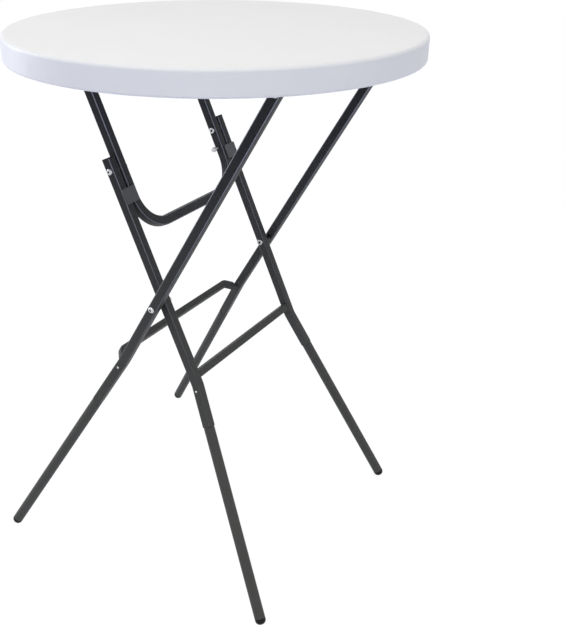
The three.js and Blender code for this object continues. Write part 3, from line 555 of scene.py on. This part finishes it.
# ---- Cross bars ----
# Both are square tube, thinner than the legs. The inner one is straight and welded in just above the
# bends. The outer one stands off the legs' plane and has its ends bent back to the outer legs.
cross_side = 0.016
cross_corner = 0.004
inner_cross_half = 0.1827
inner_cross_drop = 0.163
shape = square_tube(cross_side, cross_corner, (
    (-inner_cross_half, -inner_cross_drop),
    (inner_cross_half, -inner_cross_drop),
), wall=0)
keep_piece("inner_cross_tube", shape, coated_steel, "inner_frame", "coated_steel", "inner_cross_bar",
           at=inner_plane)

outer_cross_offset = 0.025
outer_cross_run = 0.199
outer_cross_drop = 0.173
end_reach = 0.224
end_offset = -outer_cross_offset + end_reach - outer_cross_run
shape = square_tube(cross_side, cross_corner, (
    (-end_reach, end_offset),
    (-outer_cross_run, -outer_cross_offset),
    (outer_cross_run, -outer_cross_offset),
    (end_reach, end_offset),
), bend_radius=0.012, wall=0)
bmesh.ops.rotate(shape, cent=(0, 0, 0), matrix=Matrix.Rotation(math.pi / 2, 3, "X"), verts=shape.verts)
bmesh.ops.translate(shape, vec=(0, -outer_cross_drop, 0), verts=shape.verts)


def trim_flat(shape, spot, outward):
    """Cuts a shape off at a plane and closes it there with a flat face."""
    cut = bmesh.ops.bisect_plane(shape, geom=shape.verts[:] + shape.edges[:] + shape.faces[:], dist=1e-7,
                                 plane_co=spot, plane_no=outward, clear_outer=True)
    bmesh.ops.contextual_create(shape, geom=only(bmesh.types.BMEdge, cut["geom_cut"]))


flare = legs["outer"]["down"]
for side, sign in sides:
    inward = Vector((sign * flare.y, -flare.x, 0))
    leg_face = Vector((sign * outer_half, -outer_drop, 0)) + inward * (tube_side / 2 + clearance)
    trim_flat(shape, leg_face, -inward)
keep_piece("outer_cross_tube", shape, coated_steel, "outer_frame", "coated_steel", "outer_cross_bar",
           at=outer_plane)


# ---- Locking bar ----
# One tube bent into a U. Its arms hang from the rod under the top and lie in line with the inner
# legs while the table stands; drilled on the inside of its back arm for the lock pin.
knee_pivot = (-0.108195, 0, 0.849083)
bar_plane = leg_plane(knee_pivot, bar_hinge)
bar_half = 0.168
bar_top = 0.221315 + 0.012
bar_drop = 0.130
bar_hole_radius = 0.0033
bar_hole_start, bar_hole_end = 0.150, 0.186
shape = square_tube(tube_side, tube_corner, (
    (-bar_half, bar_top),
    (-bar_half, -bar_drop),
    (bar_half, -bar_drop),
    (bar_half, bar_top),
), bend_radius=0.070, steps=20)
hole = drill(bar_hole_radius, (bar_hole_start, -pin_drop, 0), (bar_hole_end, -pin_drop, 0))
shape = cut_out(shape, hole)
keep_piece("locking_bar_tube", shape, coated_steel, "bar_unit", "coated_steel", "locking_bar", at=bar_plane)


# ---- Stop plates ----
# Flat steel plates on the locking bar's arms, a shade lighter than the tubes. They lap over the
# inner legs and come to rest on them when the knee is straight.
coated_plate, tree, surface, texture = start_finish(
    "lighter powder coat", grain=1100, mottle=30, speckle=3200, depth=0.00012)
mottled_colour(tree, texture, surface, (0.045, 0.048, 0.047), (0.058, 0.061, 0.060))
varied_gloss(tree, texture.outputs["Specks"], surface, 0.48, 0.60)


def block(size, middle_height=0, turn=0):
    """A plain block about Z, to be rounded, joined or used as a cutter."""
    shape = bmesh.new()
    add_block(shape, size, middle_height, turn)
    return shape


def add_block(shape, size, middle_height, turn=0):
    """Adds a block to a shape."""
    bmesh.ops.create_cube(shape, size=1, matrix=Matrix.Translation((0, 0, middle_height))
                          @ Matrix.Rotation(turn, 4, "Z") @ Matrix.Diagonal((*size, 1)))


def round_edges(shape, edges, rounding, segments):
    """Rounds off some edges of a shape."""
    bmesh.ops.bevel(shape, geom=edges, offset=rounding, segments=segments, profile=0.5, affect="EDGES",
                    material=-1)


plate_width = 0.039
plate_height = 0.031
plate_sheet = 0.0025
plate_middle = (0.1835, -0.0545, 0.01155)
for side, sign in sides:
    shape = block((plate_width, plate_height, plate_sheet))
    upright = [e for e in shape.edges if abs(e.verts[0].co.z - e.verts[1].co.z) > 0.001]
    round_edges(shape, upright, 0.003, 5)
    flat = [e for e in shape.edges if abs(e.verts[0].co.z - e.verts[1].co.z) < 1e-6]
    round_edges(shape, flat, 0.0004, 2)
    bmesh.ops.translate(shape, vec=(sign * plate_middle[0], *plate_middle[1:]), verts=shape.verts)
    keep_piece(f"stop_plate_sheet_{side}", shape, coated_plate, "bar_unit", "coated_plate",
               f"stop_plate_{side}", at=bar_plane)


# ---- Rods, clips, brackets and screws under the top ----
# Two steel rods carry the frames. Each runs through the tubes' upper ends and two saddle brackets
# of bent sheet, screwed into solid pads of the top, and is held by a pushed-on clip at each end.
bright_steel, tree, surface, texture = start_finish(
    "zinc plated steel", grain=1400, mottle=60, speckle=2400, depth=0.00005, metallic=1)
mottled_colour(tree, texture, surface, (0.46, 0.47, 0.48), (0.62, 0.63, 0.64))
varied_gloss(tree, texture.outputs["Height"], surface, 0.22, 0.38)


def along_axle(x, y, z, sign=1):
    """Puts a shape made about Z on a line along Y, with its top pointing to that side."""
    return Matrix.Translation((x, y, z)) @ Matrix.Rotation(-sign * math.pi / 2, 4, "X")


def ring_shape(bore, radius, thickness, facets=40):
    """A plain bush about Z, with its outer edges broken."""
    return turned_shape(((bore, 0, 0), (radius, 0, 0.0006), (radius, thickness, 0.0006),
                         (bore, thickness, 0)), facets)


rod_height = outer_hinge[2]
rod_radius = 0.005
clip_bore = 0.0052
clip_collar = 0.0065
clip_radius = 0.0080
clip_height = 0.0023
for name, x, half_length, clip_seat in (("outer_hinge", outer_hinge[0], 0.2408, 0.2383),
                                        ("bar_hinge", bar_hinge[0], 0.1808, 0.1783)):
    shape = turned_shape(((0, half_length, 0), (rod_radius, half_length, 0.0008),
                          (rod_radius, -half_length, 0.0008), (0, -half_length, 0)), facets=40)
    keep_piece(f"{name}_rod", shape, bright_steel, "hinged_top", "bright_steel", f"{name}_axle",
               at=along_axle(x, 0, rod_height))
    for side, sign in sides:
        shape = turned_shape((
            (clip_bore, clip_height, 0.0003), (clip_bore, 0.0005, 0), (clip_radius, 0, 0.0002),
            (clip_radius, 0.0014, 0.0007), (clip_collar, clip_height, 0.0005),
        ), facets=40)
        keep_piece(f"{name}_push_clip_{side}", shape, bright_steel, "hinged_top", "bright_steel",
                   f"{name}_axle_clip_{side}", at=along_axle(x, sign * clip_seat, rod_height, sign))

saddle_sheet = 0.0025


def saddle_shape():
    """Inverted U of sheet: a base plate with two ears that narrow to a round eye."""
    shape = bmesh.new()
    half_length, half_width, eye = 0.022, 0.013, 0.008
    base_top, base_bottom = 0.0217, 0.0192
    shoulder = base_bottom - 0.003
    for start in (-half_width, half_width - saddle_sheet):
        outline = [shape.verts.new(point) for point in (
            (-half_length, start, base_top), (-half_length, start, shoulder), (-eye, start, 0.001),
            (-eye, start, -eye), (eye, start, -eye), (eye, start, 0.001),
            (half_length, start, shoulder), (half_length, start, base_top))]
        shape.faces.new(outline)
        bmesh.ops.bevel(shape, geom=[outline[3], outline[4]], offset=eye * 0.98, offset_type="OFFSET",
                        segments=8, profile=0.5, affect="VERTICES", material=-1)
        faces = [f for f in shape.faces if abs(f.calc_center_median().y - start) < 1e-6]
        raised = bmesh.ops.extrude_face_region(shape, geom=faces)["geom"]
        bmesh.ops.translate(shape, vec=(0, saddle_sheet, 0), verts=only(bmesh.types.BMVert, raised))
    add_block(shape, (2 * half_length, 2 * (half_width - saddle_sheet), base_top - base_bottom),
              (base_top + base_bottom) / 2)
    bmesh.ops.recalc_face_normals(shape, faces=shape.faces)
    steep = math.radians(40)
    rims = [e for e in shape.edges if len(e.link_faces) == 2 and e.calc_face_angle(0) > steep]
    round_edges(shape, rims, 0.0004, 2)
    return shape


def pan_screw_shape():
    """Low round head with a cross recess, and a shank below."""
    head, head_radius, shank, length = 0.0026, 0.0040, 0.0020, 0.012
    shape = turned_shape((
        (0, head, 0), (head_radius, head, 0.0014), (head_radius, 0, 0.0002), (shank, 0, 0),
        (shank, -length, 0), (0, -length - shank, 0),
    ), facets=32)
    slot_length, slot_width = 0.0044, 0.0011
    slots = [block((slot_length, slot_width, 2 * depth), head, turn)
             for depth, turn in ((0.0014, 0), (0.0013, math.pi / 2))]
    return cut_out(shape, *slots)


screw_seat = underside - clearance - saddle_sheet - clearance
for hinge, x, y in (("outer_hinge", outer_hinge[0], 0.195), ("bar_hinge", bar_hinge[0], 0.135)):
    for side, sign in sides:
        keep_piece(f"{hinge}_saddle_{side}", saddle_shape(), coated_steel, "hinged_top", "coated_steel",
                   f"{hinge}_bracket_{side}", at=Matrix.Translation((x, sign * y, rod_height)), sharp=30)
        for number, offset in ((1, -0.014), (2, 0.014)):
            seat = Matrix.Translation((x + offset, sign * y, screw_seat))
            head_down = Matrix.Rotation(math.pi, 4, "X")
            keep_piece(f"{hinge}_pan_screw_{side}_{number}", pan_screw_shape(), bright_steel, "hinged_top",
                       "bright_steel", f"{hinge}_screw_{side}_{number}", at=seat @ head_down)


# ---- Scissor pivots ----
# A steel bolt with a low round head and a drilled centre goes through outer and inner leg on each
# side, with a black spacer bush between the tubes and a round nut with a rolled rim inside.
black_plastic, tree, surface, texture = start_finish(
    "black moulded plastic", grain=700, mottle=25, speckle=1800, depth=0.00012)
mottled_colour(tree, texture, surface, (0.0035, 0.0035, 0.0038), (0.0070, 0.0070, 0.0074))
varied_gloss(tree, texture.outputs["Height"], surface, 0.36, 0.52)
surface.inputs["Specular IOR Level"].default_value = 0.18


def in_frame(plane, across, up, sign):
    """Puts a shape made about Z on a line across a frame's plane, its top pointing to that side."""
    return plane @ Matrix.Translation((across, up, 0)) @ Matrix.Rotation(sign * math.pi / 2, 4, "Y")


bolt_head_radius = 0.0065


def round_bolt_shape(length):
    """Low round head with a drilled centre, and its shank below, hollow at its end."""
    height, shank, hole, bore, depth = 0.0042, 0.004, 0.0021, 0.0026, 0.006
    radius = bolt_head_radius
    return turned_shape((
        (0, height - depth, 0), (hole, height - depth, 0), (hole, height, 0.0006),
        (radius * 0.60, height * 0.93, 0.0010), (radius * 0.94, height * 0.38, 0.0006),
        (radius, 0.0004, 0.0002), (radius, 0, 0), (shank, 0, 0), (shank, -length, 0.0004),
        (bore, -length, 0.0004), (bore, depth - length, 0), (0, depth - length, 0),
    ), facets=48)


def rolled_nut_shape():
    """Round nut with a rolled rim, so that it reads as a ring."""
    radius, bore, thickness = bolt_head_radius, 0.0043, 0.0046
    return turned_shape((
        (bore, 0, 0), (radius, 0, 0.0004), (radius, thickness, 0.0015),
        (bore + 0.0006, thickness, 0.0007), (bore, thickness - 0.0012, 0),
    ), facets=48)


bush_bore = 0.0043
bush_radius = 0.008
outer_leg_face = 0.2383
inner_leg_face = 0.2033
nut_seat = 0.1827
for side, sign in sides:
    keep_piece(f"scissor_bolt_dome_{side}", round_bolt_shape(length=0.0594), bright_steel, "outer_frame",
               "bright_steel", f"scissor_bolt_{side}",
               at=in_frame(outer_plane, sign * outer_leg_face, 0, sign))
    keep_piece(f"scissor_spacer_{side}", ring_shape(bush_bore, bush_radius, thickness=0.0144), black_plastic,
               "outer_frame", "black_plastic", f"scissor_bush_{side}",
               at=in_frame(outer_plane, sign * inner_leg_face, 0, sign))
    keep_piece(f"scissor_ring_nut_{side}", rolled_nut_shape(), bright_steel, "outer_frame", "bright_steel",
               f"scissor_nut_{side}", at=in_frame(outer_plane, sign * nut_seat, 0, -sign))


# ---- Knee pivots ----
# Each knee has a bolt like those of the scissor pivots with a thin bush on the inner leg, and a
# hollow rivet with a ring-shaped end on the locking bar.
rivet_bore = 0.0024
rivet_head = 0.0032
recess = 0.005
rivet_shank = 0.004
rivet_length = 0.0197
knee_bush_seat = 0.1785
rivet_seat = 0.1577
for side, sign in sides:
    keep_piece(f"knee_bolt_dome_{side}", round_bolt_shape(length=0.0245), bright_steel, "inner_frame",
               "bright_steel", f"knee_bolt_{side}",
               at=in_frame(inner_plane, sign * inner_leg_face, inner_reach, sign))
    keep_piece(f"knee_spacer_{side}", ring_shape(bush_bore, bush_radius, thickness=0.0042), black_plastic,
               "inner_frame", "black_plastic", f"knee_bush_{side}",
               at=in_frame(inner_plane, sign * knee_bush_seat, inner_reach, sign))
    shape = turned_shape((
        (0, -recess, 0), (rivet_bore, -recess, 0), (rivet_bore + 0.0002, rivet_head, 0.0008),
        (bolt_head_radius - 0.0003, rivet_head, 0.0014), (bolt_head_radius, 0, 0.0004), (rivet_shank, 0, 0),
        (rivet_shank, -rivet_length, 0), (0, -rivet_length, 0),
    ), facets=48)
    keep_piece(f"knee_tubular_rivet_{side}", shape, bright_steel, "bar_unit", "bright_steel",
               f"knee_rivet_{side}", at=in_frame(bar_plane, sign * rivet_seat, 0, -sign))


# ---- Lock pin ----
# A sprung steel pin in the back arm of the locking bar, pulled by its grooved knob inside the
# frame. Its spring sits in the tube and is not seen.
knob_place = 0.136
knob_radius = 0.0055
groove_radius = 0.0036
pin_radius = 0.003
collar_radius = 0.005
pin_length = 0.0465
shape = turned_shape((
    (0, 0, 0), (knob_radius, 0, 0.0012), (knob_radius, 0.0021, 0.0003), (groove_radius, 0.0026, 0.0002),
    (groove_radius, 0.0036, 0.0002), (knob_radius, 0.0041, 0.0003), (knob_radius, 0.006, 0.0012),
    (pin_radius, 0.006, 0.0006), (pin_radius, 0.0355, 0), (collar_radius, 0.0355, 0.0003),
    (collar_radius, 0.0375, 0.0003), (pin_radius, 0.0375, 0), (pin_radius, pin_length, 0.001),
    (0, pin_length, 0),
), facets=40)
keep_piece("lock_pin_knob", shape, bright_steel, "pull_pin", "bright_steel", "lock_pin",
           at=in_frame(bar_plane, knob_place, -pin_drop, 1))
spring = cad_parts["lock_spring"]
spring.data.materials.clear()
spring.data.materials.append(bright_steel)


# ---- Foot plugs ----
# Black moulded plugs pushed into the round legs: a dome as wide as the leg, with a fine seam where
# it meets the tube and a flat worn by the floor.
foot_stub_radius = 0.0092
foot_length = 0.013
foot_rounding = 0.009
for kind, leg in legs.items():
    for side, sign in sides:
        shape = turned_shape((
            (0, -stub_length, 0), (foot_stub_radius, -stub_length, 0), (foot_stub_radius, clearance, 0),
            (lower_radius, clearance, 0.0005), (lower_radius, foot_length, foot_rounding),
            (0, foot_length, 0),
        ), facets=48)
        bmesh.ops.transform(shape, matrix=on_leg(leg, sign, leg["end"]), verts=shape.verts)
        trim_flat(shape, spot=(0, 0, 0), outward=(0, 0, -1))
        keep_piece(f"{kind}_foot_plug_{side}", shape, black_plastic, f"{kind}_frame", "black_plastic",
                   f"{kind}_foot_{side}")


# ---- End caps ----
# Thin black moulded caps pushed into the upper ends of the square tubes.
# Each has a flat head with softened edges, as wide as the tube, and a square stub inside it.
def cap_shape():
    """A cap about Z: its head up, rounded at its end, and its stub below."""
    head, rounding, stub, stub_side = 0.002, 0.0008, 0.003, tube_side - 0.0036
    shape = block((tube_side, tube_side, head - clearance), (head + clearance) / 2)
    upright = [e for e in shape.edges if abs(e.verts[0].co.z - e.verts[1].co.z) > 0.5 * head]
    round_edges(shape, upright, tube_corner, 6)
    rim = [e for e in shape.edges if all(abs(v.co.z - head) < 1e-6 for v in e.verts)]
    round_edges(shape, rim, rounding, 6)
    add_block(shape, (stub_side, stub_side, stub + clearance), (clearance - stub) / 2)
    return shape


for side, sign in sides:
    for name, node, plane, across, up, body in (
            ("outer_end_cap", "outer_top_plug", outer_plane, outer_half, leg_tops["outer"], "outer_frame"),
            ("inner_end_cap", "inner_top_plug", inner_plane, inner_half, leg_tops["inner"], "inner_frame"),
            ("bar_end_cap", "bar_top_plug", bar_plane, bar_half, bar_top, "bar_unit")):
        up_the_leg = Matrix.Translation((sign * across, up, 0)) @ Matrix.Rotation(-math.pi / 2, 4, "X")
        keep_piece(f"{name}_{side}", cap_shape(), black_plastic, body, "black_plastic", f"{node}_{side}",
                   at=plane @ up_the_leg)


# ---- Spring buttons ----
# A steel button on a spring inside each leg comes out through both tubes, below the bend, and
# locks the round leg in the square one.
button_height = 0.0022
button_depth = 0.0013
for kind, leg in legs.items():
    for side, sign in sides:
        shape = turned_shape((
            (0, button_height, 0), (button_radius, button_height, 0.0020), (button_radius, -button_depth, 0),
            (0, -button_depth, 0),
        ), facets=32)
        keep_piece(f"{kind}_spring_button_{side}", shape, bright_steel, f"{kind}_frame", "bright_steel",
                   f"{kind}_leg_button_{side}", at=on_leg(leg, sign, leg["button"], tube_side / 2))
